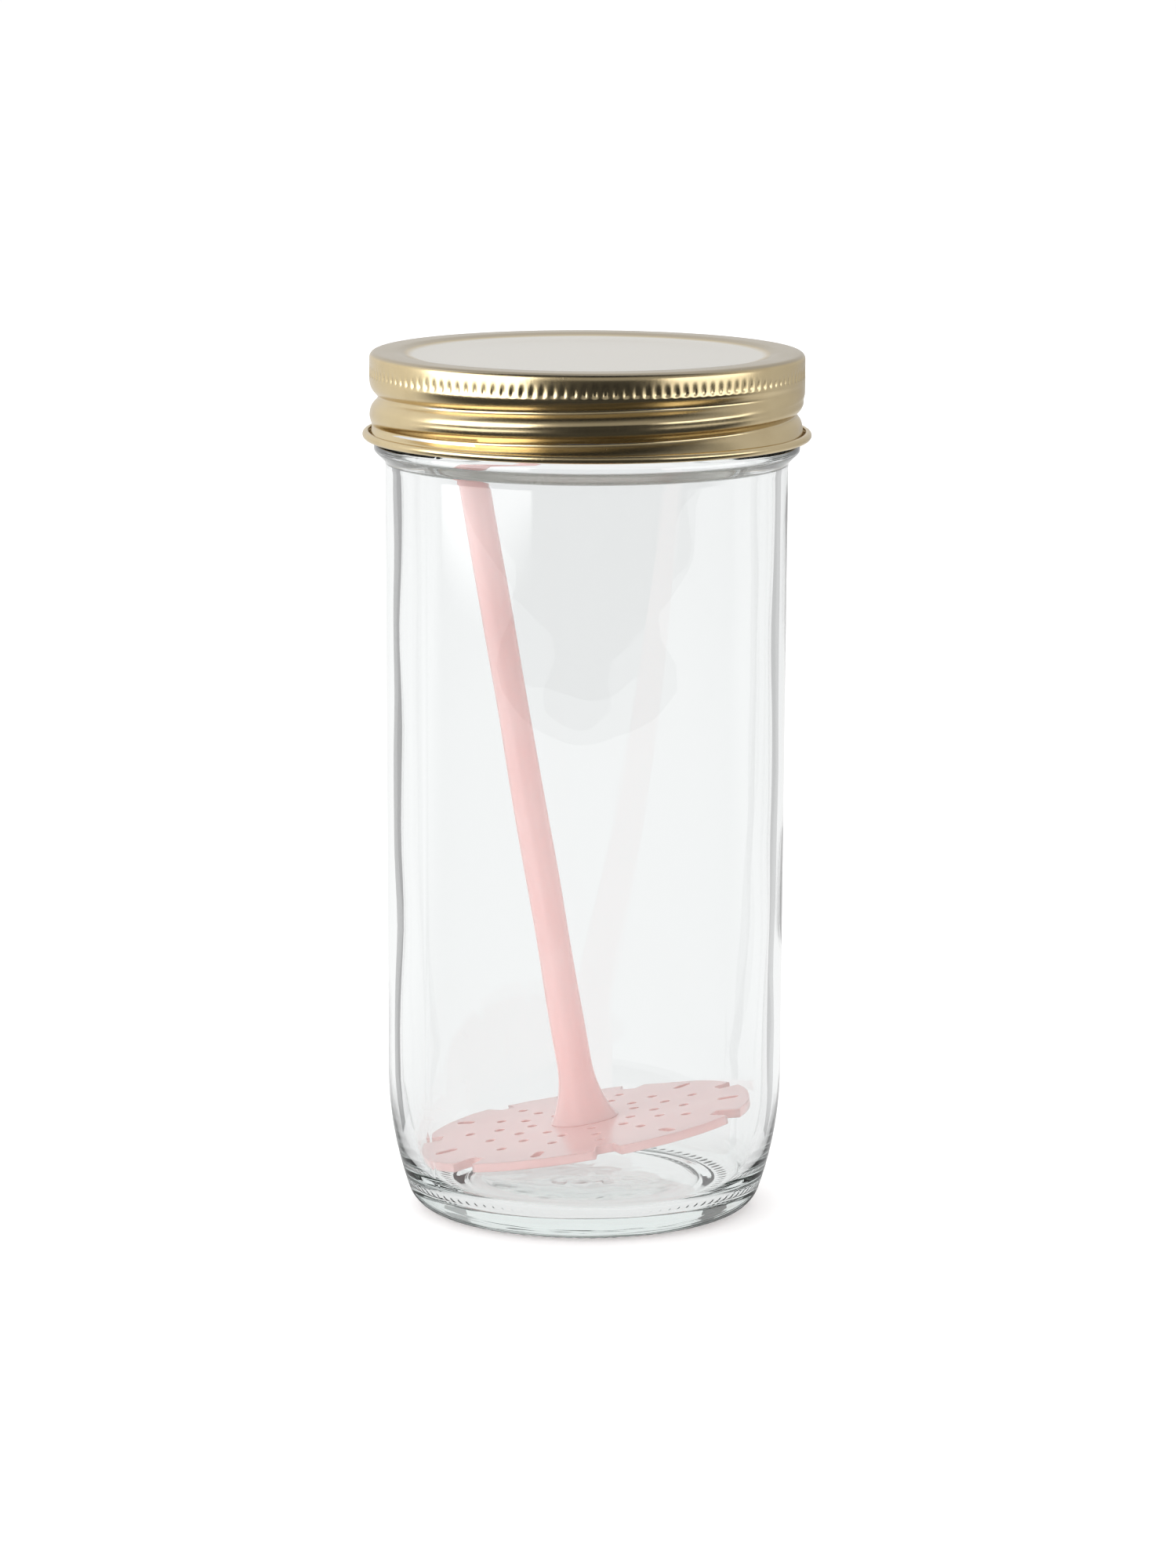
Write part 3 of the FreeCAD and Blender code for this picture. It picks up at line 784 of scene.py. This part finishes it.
# Cards on the floor and upright behind the jar, which give the glass its darker edges. Each spans the
# rays that leave the jar's edge between two angles: sideways it is edge + depth * tan(angle).
def makeFlags():
    for name, side, start, end, level in flags:
        slope = np.tan(np.radians(np.linspace(start, end, 7)))
        near, far = (np.stack([side * (flagPlace["edge"] + depth * slope), depth + 0 * slope,
                               flagPlace["lift"] + 0 * slope], 1)
                     for depth in (flagPlace["near"], flagPlace["away"]))
        points = np.vstack([near, far, far + (0, 0, flagPlace["tall"])])
        faces = [(k, k + 1, k + 8, k + 7) for k in (*range(6), *range(7, 13))]
        mesh = bpy.data.meshes.new(name)
        mesh.from_pydata(points.tolist(), [], faces)
        card = bpy.data.objects.new(name, mesh)
        bpy.context.collection.objects.link(card)
        card.visible_camera = card.visible_diffuse = False
        card.visible_glossy = card.visible_shadow = False
        material, m = newMaterial(name)
        m.node("ShaderNodeOutputMaterial", None, {0: m.node("ShaderNodeEmission", None, {1: level})})
        mesh.materials.append(material)


# A lamp lights dull surfaces, and a card in the same place, brightest in its middle, is what polished
# ones mirror.
def makeLamps():
    for name, place, target, width, height, power, shine in lamps:
        data = bpy.data.lights.new(name, "AREA")
        data.shape = "RECTANGLE"
        data.size, data.size_y, data.energy = width, height, power
        lamp = bpy.data.objects.new(name, data)
        bpy.context.collection.objects.link(lamp)
        lamp.visible_transmission = lamp.visible_glossy = False
        lamp.location = place
        lamp.rotation_euler = (Vector(place) - Vector(target)).to_track_quat("Z", "Y").to_euler()
        mesh = bpy.data.meshes.new(name)
        corners = [(x * width / 2, y * height / 2, 0) for x, y in ((-1, -1), (1, -1), (1, 1), (-1, 1))]
        mesh.from_pydata(corners, [], [(3, 2, 1, 0)])
        card = bpy.data.objects.new(name + "Card", mesh)
        bpy.context.collection.objects.link(card)
        card.location, card.rotation_euler = lamp.location, lamp.rotation_euler
        card.visible_camera = card.visible_diffuse = False
        card.visible_transmission = card.visible_shadow = False
        material, m = newMaterial(name)
        across = m.node("ShaderNodeSeparateXYZ", None, {0: m.place()}, 0).math("ABSOLUTE")
        along = m.node("ShaderNodeSeparateXYZ", None, {0: m.place()}, 1).math("ABSOLUTE")
        edge = 1.0 - across.ramp(width * 0.42, width * 0.5)
        edge = edge * (1.0 - along.ramp(height * 0.38, height * 0.5))
        behindGlass = m.path("Transmission Depth").math("MINIMUM", 1.0)
        direct = 1.0 - behindGlass * 0.9   # faint in the jar's far wall
        height = m.node("ShaderNodeSeparateXYZ", None, {0: m.node("ShaderNodeNewGeometry")}, 2)
        low = height.ramp(0.008, 0.055)   # the jar's wall mirrors the low part, and the lid what is above
        front = m.node("ShaderNodeEmission", None, {1: edge * direct * low * shine})
        m.node("ShaderNodeOutputMaterial", None, {0: m.node("ShaderNodeMixShader", None, {
            0: edge, 1: m.node("ShaderNodeBsdfTransparent"), 2: front})})
        mesh.materials.append(material)


# White behind and a dark room in front, for polished surfaces and the glass, and one even fill for
# everything that a dull surface has scattered.
def makeWorld():
    world = bpy.data.worlds.new("studio")
    bpy.context.scene.world = world
    world.cycles.sampling_method = "NONE"   # so that each kind of ray meets its own level
    w = Shader(world)
    towards = w.node("ShaderNodeTexCoord", output=0)
    x = w.node("ShaderNodeSeparateXYZ", None, {0: towards}, 0)
    y = w.node("ShaderNodeSeparateXYZ", None, {0: towards}, 1)
    z = w.node("ShaderNodeSeparateXYZ", None, {0: towards}, 2)
    behind = y.ramp(-0.12, 0.10)
    room = studio["darkRoom"] + z.ramp(-0.06, 0.16) * (1.0 - z.ramp(0.5, 0.9)) * studio["upperRoom"]
    wall = studio["wallLeft"] + x.ramp(-0.5, 0.8) * (studio["wallRight"] - studio["wallLeft"])
    mirrored = room + behind * (wall - room)
    through = room + behind * (studio["backdrop"] - room)
    level = through + w.path("Is Reflection Ray") * (mirrored - through)
    level = level + w.path("Diffuse Depth").math("MINIMUM", 1.0) * (studio["fill"] - level)
    level = level + w.path("Is Camera Ray") * (studio["backdrop"] * 1.02 - level)
    sky = w.node("ShaderNodeBackground", None, {0: (1, 1, 1, 1), 1: level})
    w.node("ShaderNodeOutputWorld", None, {0: sky})


makeFloor()
makeFlags()
makeLamps()
makeWorld()
print("studio lit")
bpy.context.scene.view_settings.view_transform = "Standard"
paths = bpy.context.scene.cycles   # glass in glass needs long light paths
paths.max_bounces, paths.glossy_bounces, paths.transmission_bounces = 24, 16, 24
